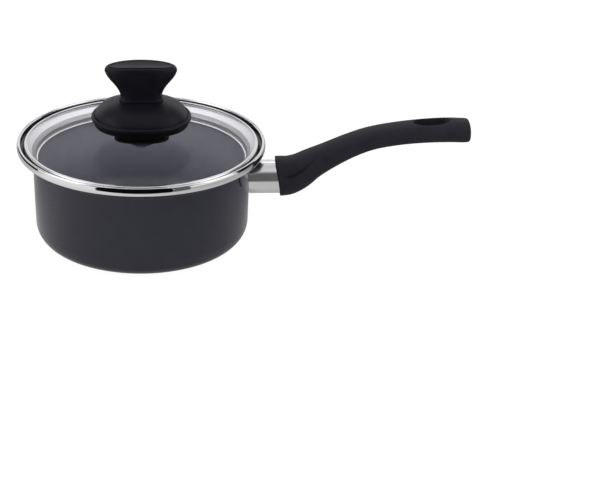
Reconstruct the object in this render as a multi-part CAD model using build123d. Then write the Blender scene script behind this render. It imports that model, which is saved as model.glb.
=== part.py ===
from build123d import *
import math
import os

# Saucepan with a glass lid, in millimetres.
# The origin is the centre of the pan's flat base, +Z is up and the handle points along +X.
# Every piece is modelled in place and written to its own STEP file.

# ---------------------------------------------------------------- pan body
wall = 1.4                      # enamelled steel sheet
pan_top_radius = 82.0           # outside of the wall, at the neck
pan_draft = 1.2                 # the wall's radius is smaller by this much at the base
pan_corner_radius = 15.4        # outside radius between base and wall
neck_height = 66.8              # height at which the wall turns out into the lid seat
neck_radius = 2.4               # outside bend radius of that turn
seat_angle = 35.0               # slope of the lid seat, degrees above level
base_split = 4.5                # height at which the shell is parted into base and wall

# ---------------------------------------------------------------- stainless rim ring
rim_overhang = 11.5             # outside of the rolled ring, beyond the wall
rim_width = 2.7                 # from its outside to its inner edge
rim_above_seat = 4.9            # top of the ring over the edge of the lid seat
rim_height = 6.3
rim_tip_inset = 1.2             # steel left outside the tip of the pan's edge
rim_inner_round = 0.6
seam_gap = 0.05                 # clearance at welded, crimped and pressed seams

# ---------------------------------------------------------------- lid
lid_play = 2.8                  # gap round the lid, inside the rim ring
seat_gap = 0.3                  # clearance between the lid and the pan, at rest
band_sheet = 0.5                # stainless sheet of the lid's edge band
band_corner = 1.2               # outside bend radius
band_height = 4.9
band_top_lip = 2.6              # how far the band reaches in over the glass
skirt_play = 1.2                # gap round the lid's skirt, inside the pan's wall
skirt_height = 4.6
skirt_hem = 1.5                 # lower edge of the skirt, turned in
skirt_bend = 0.9
glass_thickness = 4.0
glass_rise = 3.4                # height of the dome over its edge
glass_edge_round = 0.8
glass_gap = 0.1                 # play of the glass in its band, under it and around it
vent_radius = 2.6               # bore of the steam vent's eyelet
vent_from_base = 12.0           # vent's middle to the side of the knob's base
eyelet_wall = 0.6
eyelet_flange = 1.9             # width of the eyelet's rolled edges
eyelet_sheet = 0.5

# ---------------------------------------------------------------- knob
# Its sections are level ovals. A squareness of 2 is an ellipse, and a larger one has
# flatter sides.
knob_height = 27.7              # grip's foot to the flat of its top
neck_half_width = 15.5
neck_half_depth = 9.4
neck_squareness = 3.6
crown_half_width = 26.9
crown_half_depth = 12.0
crown_squareness = 2.3
knob_profile = [                # share of height, share of the flare in width, in depth
    (0.00, 0.06, 0.19),
    (0.12, 0.00, 0.00),
    (0.24, 0.06, 0.00),
    (0.36, 0.21, 0.08),
    (0.48, 0.43, 0.23),
    (0.60, 0.68, 0.46),
    (0.72, 0.88, 0.73),
    (0.85, 1.00, 1.00),
    (1.00, 0.94, 1.08),
]
crown_round = 2.3               # edge of the grip's top
dish_depth = 0.8                # hollow in the grip's top
dish_margin = 3.4               # width left between the hollow and the grip's side
collar_height = 1.6
collar_ledge = 0.6              # how far the collar stands out of the neck
flange_half_width = 37.3
flange_half_depth = 33.7
flange_squareness = 2.2
flange_lip_height = 4.0
flange_lip_bulge = 0.4          # how far the lip swells over its lower edge
flange_crease = 1.3             # the dome starts this far inside the lip
flange_skirt_height = 4.4
flange_skirt_inset = 0.9        # the skirt stands back under the lip
flange_wall = 2.6
dome_height = 11.0
dome_profile = [                # share of height, share of the way in to the neck
    (0.00, 0.00),
    (0.36, 0.23),
    (0.71, 0.56),
    (1.00, 1.00),
]
base_half_width = 20.0
base_half_depth = 13.0
base_squareness = 2.6
base_height = 10.9
base_draft = 0.9                # the base narrows by this much at its top
base_edge_round = 0.6
gasket_thickness = 0.8
gasket_ledge = 0.5
spigot_radius = 7.4
spigot_gap = 0.15
spigot_stop = 1.5               # the spigot ends this far above the base
insert_radius = 4.4
insert_length = 12.0
screw_radius = 2.5              # M5 shanks, threads as plain cylinders
screw_gap = 0.35                # clearance round a shank in a plain hole
thread_gap = 0.02               # clearance round a shank in a threaded hole
thread_depth = 10.0
thread_runout = 3.0             # bore left beyond a screw's end
head_radius = 4.6
head_height = 3.0
head_round = 1.0
recess_width = 1.1              # cross recess
recess_length = 5.2
recess_depth = 1.8
sleeve_wall = 1.2
washer_radius = 9.0
washer_thickness = 1.2
under_gasket_radius = 10.5
under_gasket_thickness = 1.4

# ---------------------------------------------------------------- handle
ferrule_radius = 12.8
ferrule_wall = 1.0
ferrule_length = 26.0           # pan's wall to the ferrule's outer end
ferrule_below_neck = 19.2       # its axis under the neck
tongue_width = 12.0
tongue_thickness = 6.0
tongue_reach = 16.0             # tongue's end beyond the ferrule's
foot_thickness = 2.4
foot_gap = 0.6                  # between the welded foot and the ferrule round it
socket_gap = 0.2                # play of tongue and ferrule in the grip
grip_overlap = 4.6              # length of ferrule inside the grip
grip_lift = 0.4                 # the grip's front is centred this far over the ferrule
grip_length = 147.0
grip_rise = 37.3
grip_wall = 2.1                 # wall of the grip round the ferrule
grip_front_tilt = 8.0           # the front face leans back by this, degrees
grip_squareness = 2.25
grip_back_half_width = 13.6
grip_back_half_thickness = 8.2
grip_profile = [                # share of length, of rise, and of the change in width, thickness
    (0.000, 0.000, 0.00, 0.00),
    (0.055, 0.018, 0.00, 0.07),
    (0.112, 0.108, 0.20, 0.29),
    (0.175, 0.268, 0.65, 0.58),
    (0.260, 0.448, 1.20, 0.82),
    (0.370, 0.662, 1.55, 0.97),
    (0.480, 0.822, 1.60, 1.04),
    (0.620, 0.927, 1.40, 1.06),
    (0.760, 0.982, 1.06, 1.04),
    (0.885, 1.000, 1.00, 1.00),
    (0.960, 0.992, 1.25, 0.99),
]
tip_round = 4.6                 # the handle's end is crowned by this much across
tip_edge_round = 2.2
slot_length = 26.5
slot_width = 13.0
slot_from_tip = 29.5            # middle of the hanging slot to the handle's end
grip_screw_setback = 8.0        # handle screw to the tongue's end
grip_screw_seat = 2.4           # grip left between the screw's washer and the tongue
lock_washer_radius = 4.5
lock_washer_thickness = 1.0
counterbore_gap = 0.4
grip_thread_depth = 4.6

# ---------------------------------------------------------------- drawing
oval_points = 32                # points that each oval section is drawn through
cut_over = 1.0                  # cutting tools run past the faces that they cut
pick_near = 0.01                # how near an edge is to the place it is picked by

# ---------------------------------------------------------------- derived places
seat_tan = math.tan(math.radians(seat_angle))
seat_cos = math.cos(math.radians(seat_angle))
rim_radius = pan_top_radius + rim_overhang
seat_tip_radius = rim_radius - rim_tip_inset
seat_tip_height = neck_height + (seat_tip_radius - pan_top_radius) * seat_tan
rim_top = seat_tip_height + rim_above_seat
band_radius = rim_radius - rim_width - lid_play
band_bottom = (neck_height + (band_radius - pan_top_radius) * seat_tan
               + (wall + seat_gap) / seat_cos)
band_top = band_bottom + band_height
skirt_radius = pan_top_radius - wall - skirt_play
lip_end = band_bottom - (band_radius - skirt_radius) * seat_tan
skirt_top = lip_end + band_sheet / seat_cos
skirt_bottom = skirt_top - skirt_height
glass_radius = band_radius - band_sheet - glass_gap
glass_foot = (band_bottom - (band_radius - glass_radius + glass_edge_round) * seat_tan
              + (band_sheet + glass_gap + glass_edge_round) / seat_cos - glass_edge_round)
glass_shoulder = glass_foot + glass_thickness
glass_top = glass_shoulder + glass_rise
glass_hollow = glass_top - glass_thickness
vent_distance = base_half_depth + vent_from_base
base_bottom = glass_top + gasket_thickness
flange_bottom = base_bottom + base_height
lip_bottom = flange_bottom + flange_skirt_height
lip_top = lip_bottom + flange_lip_height
grip_foot = lip_top + dome_height
insert_bottom = flange_bottom + spigot_stop
washer_bottom = glass_hollow - under_gasket_thickness - washer_thickness
screw_hole = screw_radius + screw_gap
ferrule_end = pan_top_radius + ferrule_length
ferrule_height = neck_height - ferrule_below_neck
tongue_end = ferrule_end + tongue_reach
tongue_bottom = ferrule_height - tongue_thickness / 2
grip_screw_place = tongue_end - grip_screw_setback
grip_seat = tongue_bottom - socket_gap - grip_screw_seat
grip_start = ferrule_end - grip_overlap
grip_end = grip_start + grip_length
grip_start_height = ferrule_height + grip_lift
grip_front_radius = ferrule_radius + socket_gap + grip_wall


# ---------------------------------------------------------------- helpers
def mitred(points, distance):
    """The corners of a path moved to the right of its direction by a distance."""
    moved = []
    for index, (x, y) in enumerate(points):
        sides = []
        if index > 0:
            sides.append((points[index - 1], (x, y)))
        if index < len(points) - 1:
            sides.append(((x, y), points[index + 1]))
        normals = []
        for (ax, ay), (bx, by) in sides:
            length = math.hypot(bx - ax, by - ay)
            normals.append(((by - ay) / length, -(bx - ax) / length))
        nx = sum(n[0] for n in normals)
        ny = sum(n[1] for n in normals)
        scale = distance / (nx * normals[0][0] + ny * normals[0][1])
        moved.append((x + nx * scale, y + ny * scale))
    return moved


def sheet_ring(points, bends, sheet):
    """Revolve a bent sheet whose face follows a path and whose sheet lies to its right.

    A bend is positive where the path turns left, so that the sheet is on the outside.
    """
    other = mitred(points, sheet)
    outer_bends = [abs(bend) for bend in bends]
    inner_bends = [abs(bend + sheet) if bend > 0 else abs(bend) - sheet for bend in bends]
    first = FilletPolyline(*points, radius=outer_bends)
    second = FilletPolyline(*other, radius=inner_bends)
    caps = Line(points[0], other[0]) + Line(points[-1], other[-1])
    profile = make_face(first.edges() + second.edges() + caps.edges())
    return revolve(Plane.XZ * profile, Axis.Z)


def disc(radius, bottom, height):
    """Upright cylinder that starts at a height."""
    return Pos(0, 0, bottom) * Cylinder(
        radius, height, align=(Align.CENTER, Align.CENTER, Align.MIN))


def level_rod(radius, start, end):
    """Cylinder along +X on the ferrule's axis."""
    place = Plane(origin=(start, 0, ferrule_height), x_dir=(0, 1, 0), z_dir=(1, 0, 0))
    return place * Cylinder(radius, end - start, align=(Align.CENTER, Align.CENTER, Align.MIN))


def between(first, last, share):
    """Value at a share of the way from one value to another."""
    return first + (last - first) * share


def oval(half_width, half_depth, squareness):
    """Closed oval face: an ellipse at squareness 2, with flatter sides above it."""
    points = []
    for index in range(oval_points):
        turn = 2 * math.pi * index / oval_points
        cosine = math.cos(turn)
        sine = math.sin(turn)
        points.append((
            half_width * math.copysign(abs(cosine) ** (2 / squareness), cosine),
            half_depth * math.copysign(abs(sine) ** (2 / squareness), sine)))
    return make_face(Spline(*points, periodic=True).edges())


def oval_loft(bottom, stations, ruled=False):
    """Solid through level ovals: height over the bottom, two half axes and squareness."""
    sections = [Pos(0, 0, bottom + rise) * oval(a, b, n) for rise, a, b, n in stations]
    return loft(sections, ruled=ruled)


def oval_disc(bottom, height, half_width, half_depth, squareness):
    """Upright solid of one oval section."""
    return Pos(0, 0, bottom) * extrude(oval(half_width, half_depth, squareness), height)


def pan_envelope(extra):
    """Everything within the pan's wall, grown by a clearance, up to the neck."""
    outline = Polyline(
        (0, 0), (pan_top_radius - pan_draft + extra, 0),
        (pan_top_radius + extra, neck_height), (0, neck_height), close=True)
    return revolve(Plane.XZ * make_face(outline), Axis.Z)


def cross_recess(top):
    """Cross-shaped driver recess, cut upwards into the head of a screw."""
    bar = Box(recess_length, recess_width, recess_depth)
    return Pos(0, 0, top + recess_depth / 2) * (bar + Rot(0, 0, 90) * bar)


def pan_head_screw(radius, seat, top):
    """Screw with its head hanging under the seat and its shank up to the top."""
    head = disc(radius, seat - head_height, head_height)
    head = fillet(head.edges().sort_by(Axis.Z)[:1], head_round)
    return head + disc(screw_radius, seat, top - seat) - cross_recess(seat - head_height)


# ---------------------------------------------------------------- pan
def pan_shell():
    """The whole pressed shell: base, wall and the sloping seat for the lid."""
    points = [
        (0, 0),
        (pan_top_radius - pan_draft, 0),
        (pan_top_radius, neck_height),
        (seat_tip_radius, seat_tip_height),
    ]
    inner = mitred(points, -wall)
    outside = FilletPolyline(*points, radius=[pan_corner_radius, neck_radius])
    inside = FilletPolyline(*inner, radius=[pan_corner_radius - wall, neck_radius + wall])
    caps = Line(points[0], (0, wall)) + Line(points[-1], inner[-1])
    profile = make_face(outside.edges() + inside.edges() + caps.edges())
    return revolve(Plane.XZ * profile, Axis.Z)


def make_pan_base():
    """Bottom of the shell, up to a level line in its rounded corner."""
    return pan_shell() & disc(rim_radius, 0, base_split)


def make_pan_wall():
    """The rest of the shell, in one pressing with its base."""
    return pan_shell() - disc(rim_radius, 0, base_split)


def make_rim_ring():
    """Stainless ring rolled round the pan's edge, slotted for that edge."""
    inner = rim_radius - rim_width
    shoulder = rim_radius - rim_width / 2
    bottom = rim_top - rim_height
    middle = (rim_top + bottom) / 2
    outline = (
        Line((inner, rim_top), (inner, bottom))
        + Line((inner, bottom), (shoulder, bottom))
        + ThreePointArc((shoulder, bottom), (rim_radius, middle), (shoulder, rim_top))
        + Line((shoulder, rim_top), (inner, rim_top))
    )
    face = make_face(outline.edges())
    corners = face.vertices().filter_by(lambda v: v.X < inner + pick_near)
    face = fillet(corners, rim_inner_round)
    ring = revolve(Plane.XZ * face, Axis.Z)
    reach = seat_tip_radius + seam_gap
    low = (pan_top_radius, neck_height - seam_gap / seat_cos)
    lift = (wall + 2 * seam_gap) / seat_cos
    run = reach - pan_top_radius
    slot = Polyline(
        low, (reach, low[1] + run * seat_tan),
        (reach, low[1] + run * seat_tan + lift), (low[0], low[1] + lift), close=True)
    return ring - revolve(Plane.XZ * make_face(slot), Axis.Z)


# ---------------------------------------------------------------- lid
def make_lid_band():
    """Stainless band crimped round the glass, with a lip that slopes in over the seat."""
    points = [
        (band_radius - band_top_lip, band_top),
        (band_radius, band_top),
        (band_radius, band_bottom),
        (skirt_radius - cut_over, lip_end - cut_over * seat_tan),
    ]
    band = sheet_ring(points, [-band_corner, -band_corner], band_sheet)
    return band - disc(skirt_radius + seam_gap, 0, band_bottom)


def make_lid_skirt():
    """Stainless skirt under the band's lip, which centres the lid in the pan."""
    points = [
        (skirt_radius, skirt_top),
        (skirt_radius, skirt_bottom),
        (skirt_radius - skirt_hem, skirt_bottom),
    ]
    return sheet_ring(points, [-skirt_bend], band_sheet)


def glass_blank():
    """The lid's glass before its holes are drilled."""
    sphere = (glass_radius ** 2 + glass_rise ** 2) / (2 * glass_rise)
    half = glass_radius / 2
    sag = sphere - math.sqrt(sphere ** 2 - half ** 2)
    top = ThreePointArc((0, glass_top), (half, glass_top - sag), (glass_radius, glass_shoulder))
    low = ThreePointArc((0, glass_hollow), (half, glass_hollow - sag), (glass_radius, glass_foot))
    sides = Line((0, glass_top), (0, glass_hollow)) + Line(
        (glass_radius, glass_shoulder), (glass_radius, glass_foot))
    return revolve(Plane.XZ * make_face(top.edges() + low.edges() + sides.edges()), Axis.Z)


def make_lid_glass():
    """Tempered glass dome with rounded edges, a screw hole and a vent hole."""
    glass = glass_blank()
    rims = glass.edges().filter_by(GeomType.CIRCLE).filter_by(
        lambda e: e.radius > glass_radius - pick_near)
    glass = fillet(rims, glass_edge_round)
    glass -= disc(screw_radius + sleeve_wall + seam_gap, 0, glass_top + cut_over)
    vent = disc(vent_radius + eyelet_wall + seam_gap, 0, glass_top + cut_over)
    return glass - Pos(0, vent_distance, 0) * vent


def make_vent_eyelet():
    """Stainless eyelet that lines the steam vent, with an edge rolled over each side."""
    upper = glass_top + eyelet_sheet
    lower = glass_hollow - 2 * eyelet_sheet
    tube = disc(vent_radius + eyelet_wall, lower, upper - lower)
    edge = vent_radius + eyelet_wall + eyelet_flange
    eyelet = tube + disc(edge, upper - eyelet_sheet, eyelet_sheet)
    eyelet += disc(edge, lower, eyelet_sheet)
    eyelet -= disc(vent_radius, 0, upper + cut_over)
    return Pos(0, vent_distance, 0) * eyelet


def make_screw_sleeve():
    """Silicone sleeve that keeps the screw off the glass."""
    sleeve = disc(screw_radius + sleeve_wall, glass_hollow, glass_thickness)
    return sleeve - disc(screw_radius + seam_gap, 0, glass_top + cut_over)


def make_knob_gasket():
    """Silicone pad between the knob's base and the glass."""
    pad = oval_disc(
        base_bottom - 2 * gasket_thickness, 2 * gasket_thickness,
        base_half_width + gasket_ledge, base_half_depth + gasket_ledge, base_squareness)
    pad -= glass_blank()
    return pad - disc(screw_radius + sleeve_wall + seam_gap, 0, base_bottom + cut_over)


def make_under_gasket():
    """Silicone disc under the glass, shaped to its hollow side."""
    bottom = glass_hollow - under_gasket_thickness
    pad = disc(under_gasket_radius, bottom, 2 * under_gasket_thickness)
    pad -= glass_blank()
    return pad - disc(screw_hole, 0, glass_top)


def make_knob_washer():
    """Stainless washer that spreads the screw's load."""
    washer = disc(washer_radius, washer_bottom, washer_thickness)
    return washer - disc(screw_hole, 0, glass_top)


def make_knob_screw():
    """Pan-head screw from under the glass up into the grip's insert."""
    return pan_head_screw(head_radius, washer_bottom, insert_bottom + thread_depth)


# ---------------------------------------------------------------- knob
def make_knob_base():
    """Pedestal that holds the steam flange clear of the glass."""
    base = oval_loft(base_bottom, [
        (0, base_half_width, base_half_depth, base_squareness),
        (base_height, base_half_width - base_draft, base_half_depth - base_draft,
         base_squareness),
    ], ruled=True)
    base = fillet(base.edges().sort_by(Axis.Z)[:1], base_edge_round)
    return base - disc(screw_hole, 0, flange_bottom + cut_over)


def grip_ovals():
    """The grip's sections: height over its foot, two half axes and squareness."""
    return [(rise * knob_height,
             between(neck_half_width, crown_half_width, wide),
             between(neck_half_depth, crown_half_depth, deep),
             between(neck_squareness, crown_squareness, wide))
            for rise, wide, deep in knob_profile]


def dome_ovals():
    """The flange's sections, from its crease up to the foot of the grip."""
    foot = grip_ovals()[0]
    return [(rise * dome_height,
             between(flange_half_width - flange_crease, foot[1], share),
             between(flange_half_depth - flange_crease, foot[2], share),
             between(flange_squareness, foot[3], share))
            for rise, share in dome_profile]


def lip_oval(height, inset):
    """Section of the flange set in from its widest, for a loft."""
    return (height, flange_half_width - inset, flange_half_depth - inset, flange_squareness)


def make_knob_flange():
    """Domed steam flange: a lip, a recessed skirt and a hollow underside."""
    domes = dome_ovals()
    roof_rise, roof_width, roof_depth, roof_squareness = domes[-2]
    dome = oval_loft(lip_top, domes)
    lip = oval_loft(lip_bottom, [
        lip_oval(0, flange_lip_bulge),
        lip_oval(flange_lip_height / 3, 0),
        lip_oval(2 * flange_lip_height / 3, 0),
        lip_oval(flange_lip_height, flange_crease),
    ])
    skirt = oval_disc(flange_bottom, *lip_oval(flange_skirt_height, flange_skirt_inset))
    ceiling = lip_top + roof_rise - flange_wall - flange_bottom
    under_crease = lip_top - flange_bottom - flange_wall / 2
    cavity = oval_loft(flange_bottom, [
        lip_oval(0, flange_skirt_inset + flange_wall),
        lip_oval(under_crease, flange_crease + flange_wall),
        (ceiling, roof_width - flange_wall, roof_depth - flange_wall, roof_squareness),
    ], ruled=True)
    column = oval_disc(flange_bottom, ceiling, base_half_width - base_draft,
                       base_half_depth - base_draft, base_squareness)
    flange = dome + lip + skirt - (cavity - column)
    return flange - disc(spigot_radius + spigot_gap, 0, grip_foot)


def make_knob_grip():
    """Oval grip that flares from its neck to a dished top, with a spigot below."""
    ovals = grip_ovals()
    grip = oval_loft(grip_foot, ovals)
    grip = fillet(grip.edges().sort_by(Axis.Z)[-1:], crown_round)
    top_width = ovals[-1][1] - dish_margin
    top_depth = ovals[-1][2] - dish_margin
    dish = oval_loft(grip_foot + knob_height, [
        (-dish_depth, top_width / 2, top_depth / 2, crown_squareness),
        (0, top_width, top_depth, crown_squareness),
    ], ruled=True)
    foot_width, foot_depth, foot_squareness = ovals[0][1:]
    ledge = (foot_width + collar_ledge, foot_depth + collar_ledge, foot_squareness)
    collar = oval_loft(grip_foot, [
        (0, *ledge),
        (collar_height / 2, *ledge),
        (collar_height, foot_width - collar_ledge / 2, foot_depth - collar_ledge / 2,
         foot_squareness),
    ], ruled=True)
    spigot = disc(spigot_radius, insert_bottom, grip_foot + collar_height - insert_bottom)
    grip = grip + collar + spigot - dish
    grip -= disc(insert_radius + seam_gap, 0, insert_bottom + insert_length)
    return grip - disc(screw_hole, 0, insert_bottom + thread_depth + thread_runout)


def make_knob_insert():
    """Brass insert moulded into the grip's spigot."""
    insert = disc(insert_radius, insert_bottom, insert_length)
    return insert - disc(screw_radius + thread_gap, 0, grip_foot + insert_length)


# ---------------------------------------------------------------- handle
def make_handle_ferrule():
    """Stainless sleeve between the pan's wall and the grip."""
    tube = level_rod(ferrule_radius, 0, ferrule_end)
    tube -= level_rod(ferrule_radius - ferrule_wall, -cut_over, ferrule_end + cut_over)
    return tube - pan_envelope(seam_gap)


def make_handle_bracket():
    """Steel bracket: a foot welded to the wall and a tongue that carries the grip."""
    foot_radius = ferrule_radius - ferrule_wall - foot_gap
    foot = level_rod(foot_radius, 0, pan_top_radius + foot_thickness + foot_radius)
    foot &= pan_envelope(seam_gap + foot_thickness)
    foot -= Pos(-2 * pan_top_radius, 0, ferrule_height) * Box(
        4 * pan_top_radius, 4 * foot_radius, 4 * foot_radius)
    tongue = Pos(tongue_end / 2, 0, ferrule_height) * Box(
        tongue_end, tongue_width, tongue_thickness)
    bracket = foot + tongue - pan_envelope(seam_gap)
    hole = disc(screw_radius + thread_gap, 0, ferrule_height + tongue_thickness)
    return bracket - Pos(grip_screw_place, 0, 0) * hole


def grip_point(index):
    """Place of one of the grip's sections."""
    share, lift = grip_profile[index][:2]
    return (grip_start + share * grip_length, 0, grip_start_height + lift * grip_rise)


def grip_half_sizes(index):
    """Half width and half thickness of one of the grip's sections."""
    wide, thick = grip_profile[index][2:]
    return (between(grip_front_radius, grip_back_half_width, wide),
            between(grip_front_radius, grip_back_half_thickness, thick))


def grip_section(place, slope, half_width, half_thickness):
    """Oval across the grip, square to its middle line."""
    across = Plane(origin=place, x_dir=(0, 1, 0), z_dir=(math.cos(slope), 0, math.sin(slope)))
    return across * oval(half_width, half_thickness, grip_squareness)


def grip_slope(index):
    """Slope of the grip's middle line at one of its sections, in radians."""
    if index == 0:
        return math.radians(grip_front_tilt)
    before = grip_point(index - 1)
    after = grip_point(min(index + 1, len(grip_profile) - 1))
    return math.atan2(after[2] - before[2], after[0] - before[0])


def make_grip_blank():
    """The grip's outer form, from its front face to its crowned end."""
    sections = [grip_section(grip_point(index), grip_slope(index), *grip_half_sizes(index))
                for index in range(len(grip_profile))]
    last_x, _, last_z = grip_point(len(grip_profile) - 1)
    half_width, half_thickness = grip_half_sizes(len(grip_profile) - 1)
    cap = loft([
        sections[-1],
        grip_section(((last_x + grip_end) / 2, 0, last_z), 0,
                     half_width - tip_edge_round / 4, half_thickness - tip_edge_round / 4),
        grip_section((grip_end - tip_edge_round / 2, 0, last_z), 0,
                     half_width - tip_round, half_thickness - tip_round / 2),
    ])
    return loft(sections) + cap


def make_handle_grip():
    """Moulded phenolic grip with its socket, screw hole and hanging slot."""
    grip = make_grip_blank()
    grip -= level_rod(ferrule_radius + socket_gap, 0, ferrule_end + socket_gap)
    grip -= Pos(tongue_end / 2 + socket_gap, 0, ferrule_height) * Box(
        tongue_end, tongue_width + 2 * socket_gap, tongue_thickness + 2 * socket_gap)
    bore = disc(lock_washer_radius + counterbore_gap, 0, grip_seat)
    bore += disc(screw_hole, 0, tongue_bottom)
    grip -= Pos(grip_screw_place, 0, 0) * bore
    slot = extrude(SlotOverall(slot_length, slot_width), 2 * (grip_start_height + grip_rise))
    return grip - Pos(grip_end - slot_from_tip, 0, 0) * slot


def make_handle_washer():
    """Spring washer under the head of the handle screw."""
    ring = disc(lock_washer_radius, grip_seat - lock_washer_thickness, lock_washer_thickness)
    return Pos(grip_screw_place, 0, 0) * (ring - disc(screw_hole, 0, grip_seat + cut_over))


def make_handle_screw():
    """Pan-head screw from below the grip into the tongue."""
    screw = pan_head_screw(lock_washer_radius, grip_seat - lock_washer_thickness,
                           tongue_bottom + grip_thread_depth)
    return Pos(grip_screw_place, 0, 0) * screw


parts = {
    "pan_base": make_pan_base,
    "pan_wall": make_pan_wall,
    "rim_ring": make_rim_ring,
    "handle_bracket": make_handle_bracket,
    "handle_ferrule": make_handle_ferrule,
    "handle_grip": make_handle_grip,
    "handle_screw": make_handle_screw,
    "handle_washer": make_handle_washer,
    "lid_glass": make_lid_glass,
    "lid_band": make_lid_band,
    "lid_skirt": make_lid_skirt,
    "vent_eyelet": make_vent_eyelet,
    "screw_sleeve": make_screw_sleeve,
    "knob_gasket": make_knob_gasket,
    "knob_base": make_knob_base,
    "knob_flange": make_knob_flange,
    "knob_grip": make_knob_grip,
    "knob_insert": make_knob_insert,
    "knob_screw": make_knob_screw,
    "knob_washer": make_knob_washer,
    "under_gasket": make_under_gasket,
}

os.makedirs("parts", exist_ok=True)
for name, make in parts.items():
    export_step(make(), f"parts/{name}.step")
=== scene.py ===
"""Looks of the saucepan with a glass lid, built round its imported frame.

Lengths in the classes are in millimetres, as a maker would write them, and MM turns them to
metres. Places come from the frame's own boxes. +Z is up and the handle points along +X.
"""
import logging
import math
from collections.abc import Sequence
from dataclasses import dataclass, replace
from enum import Enum

import bmesh
import bpy
from mathutils import Matrix, Quaternion, Vector


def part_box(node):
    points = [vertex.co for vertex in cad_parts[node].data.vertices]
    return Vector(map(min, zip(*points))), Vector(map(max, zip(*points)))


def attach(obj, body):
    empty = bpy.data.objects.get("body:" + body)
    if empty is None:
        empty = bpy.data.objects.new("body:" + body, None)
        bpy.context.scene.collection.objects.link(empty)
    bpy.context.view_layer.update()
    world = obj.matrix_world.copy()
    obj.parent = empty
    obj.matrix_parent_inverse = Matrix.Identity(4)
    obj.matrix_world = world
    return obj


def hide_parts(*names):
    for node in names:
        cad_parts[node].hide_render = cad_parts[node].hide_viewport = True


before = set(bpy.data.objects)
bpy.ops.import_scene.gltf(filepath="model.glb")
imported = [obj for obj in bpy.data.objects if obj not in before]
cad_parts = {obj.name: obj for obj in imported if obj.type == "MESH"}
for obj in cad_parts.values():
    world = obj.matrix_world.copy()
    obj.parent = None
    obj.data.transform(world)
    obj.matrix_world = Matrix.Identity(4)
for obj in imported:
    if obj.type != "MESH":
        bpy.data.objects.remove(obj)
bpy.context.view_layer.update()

MM = 0.001
LEVEL = Vector((1.0, 1.0, 0.0))
CRISP_FROM = 40.0  # degrees from which an edge stays crisp
LOG = logging.getLogger("saucepan")
Point = tuple[float, float]
Path = list[Point]
Table = tuple[tuple[float, ...], ...]
Piece = bpy.types.Object
Tree = bpy.types.NodeTree
Socket = bpy.types.NodeSocket
Node = bpy.types.Node


# ---------------------------------------- sections
@dataclass(frozen=True)
class Turned:
    """Level round section of a piece turned about an upright axis."""

    radius: float
    height: float
    centre: Point = (0.0, 0.0)

    def point(self, turn: float) -> Vector:
        """Place of the point at a turn about the axis, in metres."""
        return MM * Vector((
            self.centre[0] + self.radius * math.cos(turn),
            self.centre[1] + self.radius * math.sin(turn),
            self.height))


@dataclass(frozen=True)
class Oval:
    """Level oval section, whose ends along X hang below its middle by its arch."""

    half_width: float
    half_depth: float
    height: float
    squareness: float = 2.0
    arch: float = 0.0

    def inset(self, by: float, height: float) -> "Oval":
        """The same oval, set in all round and moved to a height."""
        return replace(self, half_width=self.half_width - by,
                       half_depth=self.half_depth - by, height=height)

    def toward(self, other: "Oval", wide: float, deep: float, height: float,
               arch: float = 0.0) -> "Oval":
        """Oval at a height, a share of the way to another in width and in depth."""
        return Oval(between(self.half_width, other.half_width, wide),
                    between(self.half_depth, other.half_depth, deep), height,
                    between(self.squareness, other.squareness, wide), arch)

    def point(self, turn: float) -> Vector:
        """Place of the point at a turn about the axis, in metres."""
        across, along = oval_point(turn, self.squareness)
        return MM * Vector((
            self.half_width * across,
            self.half_depth * along,
            self.height - self.arch * across ** 2))


@dataclass(frozen=True)
class Upright:
    """Section across the handle: an oval square to a sloping middle line.

    Its fold is a crease along each side: the turn of its middle, its depth and its width.
    """

    x: float
    height: float
    slope: float
    half_width: float
    half_thickness: float
    squareness: float = 2.0
    fold: tuple[float, float, float] = (0.0, 0.0, 1.0)

    def point(self, turn: float) -> Vector:
        """Place of the point at a turn about the middle line, in metres."""
        side, rise = oval_point(turn, self.squareness)
        middle, depth, width = self.fold
        gap = (math.asin(max(-1.0, min(1.0, math.sin(turn)))) - middle) / width
        sunk = depth * math.exp(-gap * gap)
        side *= self.half_width - sunk
        rise *= self.half_thickness - sunk
        return MM * Vector((
            self.x - rise * math.sin(self.slope),
            side,
            self.height + rise * math.cos(self.slope)))


@dataclass(frozen=True)
class WallSaddle:
    """Section of a level tube where it meets the pan's round wall."""

    tube_radius: float
    height: float
    wall_radius: float

    def point(self, turn: float) -> Vector:
        """Place of the point at a turn about the tube's axis, in metres."""
        side = self.tube_radius * math.cos(turn)
        return MM * Vector((
            math.sqrt(self.wall_radius ** 2 - side ** 2),
            side,
            self.height + self.tube_radius * math.sin(turn)))


@dataclass(frozen=True)
class Stadium:
    """Level section of a slot, grown by an amount. Lens 0 has round ends, 1 is an ellipse."""

    x: float
    height: float
    reach: float
    half: float
    grown: float
    lens: float
    lens_growth: float = 1.3

    def point(self, turn: float) -> Vector:
        """Place of the point at a turn about the slot's middle, in metres."""
        half = self.half + self.grown
        cosine = math.cos(turn)
        straight = self.reach - self.half
        shift = math.copysign(straight, cosine) if abs(cosine) > 1e-6 else 0.0
        along = between(shift + half * cosine,
                        (self.reach + self.lens_growth * self.grown) * cosine, self.lens)
        return MM * Vector((self.x + along, half * math.sin(turn), self.height))


Section = Turned | Oval | Upright | WallSaddle | Stadium


def oval_point(turn: float, squareness: float) -> Point:
    """Point of a unit oval.

    Args:
        turn: Angle round the oval, in radians.
        squareness: 2 for a circle, more for flatter sides.

    Returns:
        The two coordinates, each from -1 to 1.
    """
    power = 2.0 / squareness
    cosine, sine = math.cos(turn), math.sin(turn)
    return (math.copysign(abs(cosine) ** power, cosine),
            math.copysign(abs(sine) ** power, sine))


def turned(path: Path, centre: Point = (0.0, 0.0)) -> list[Turned]:
    """Sections of a piece turned about an upright axis, from its path."""
    return [Turned(radius, height, centre) for radius, height in path]


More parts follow.
